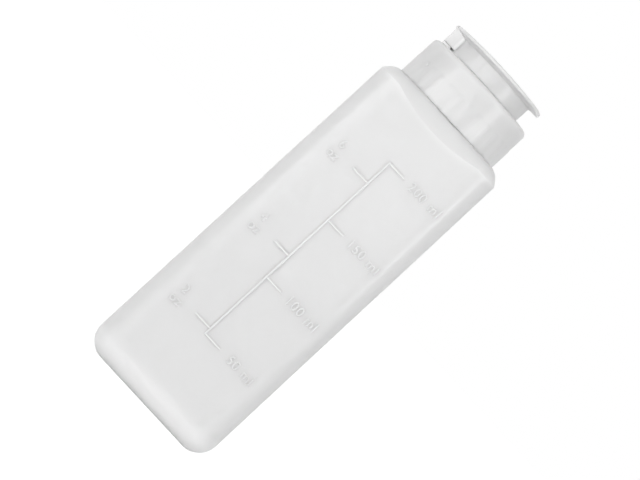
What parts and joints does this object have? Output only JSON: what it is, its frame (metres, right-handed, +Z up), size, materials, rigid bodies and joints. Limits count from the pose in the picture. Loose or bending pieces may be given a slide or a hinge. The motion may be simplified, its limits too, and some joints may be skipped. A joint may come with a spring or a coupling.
{
  "type": "squeeze bottle",
  "caption": "Rounded-square translucent squeeze bottle with a raised fill scale, a ribbed screw cap and a hinged flip lid over a small spout.",
  "frame": {"origin": "centre of the base, on the surface the bottle stands on", "axes": "+Z up along the bottle's axis, -Y out of the face with the fill scale, -X towards the lid's hinge"},
  "size_m": [0.05, 0.0503, 0.147],
  "materials": {
    "bottle": "milky translucent, satin, as blown",
    "cap": "milky translucent, smooth moulded",
    "seal": "soft closed foam"
  },
  "bodies": {
    "bottle": {"bottle": "bottle"},
    "seal": {"seal_ring": "seal"},
    "cap": {"screw_cap": "cap"},
    "lid": {"flip_lid": "cap"}
  },
  "joints": [
    {"name": "cap_rise", "type": "slide", "parent": "bottle", "child": "seal", "axis": [0, 0, 1], "range_m": [0, 0.0168]},
    {"name": "cap_turn", "type": "hinge", "parent": "seal", "child": "cap", "pos_m": [0, 0, 0.13], "axis": [0, 0, 1], "range_deg": [0, 1440]},
    {"name": "lid_hinge", "type": "hinge", "parent": "cap", "child": "lid", "pos_m": [-0.018, 0, 0.1398], "axis": [0, -1, 0], "range_deg": [0, 125]}
  ],
  "couplings": [
    {"joint": "cap_rise", "follows": "cap_turn", "m_per_rad": 0.000668}
  ]
}
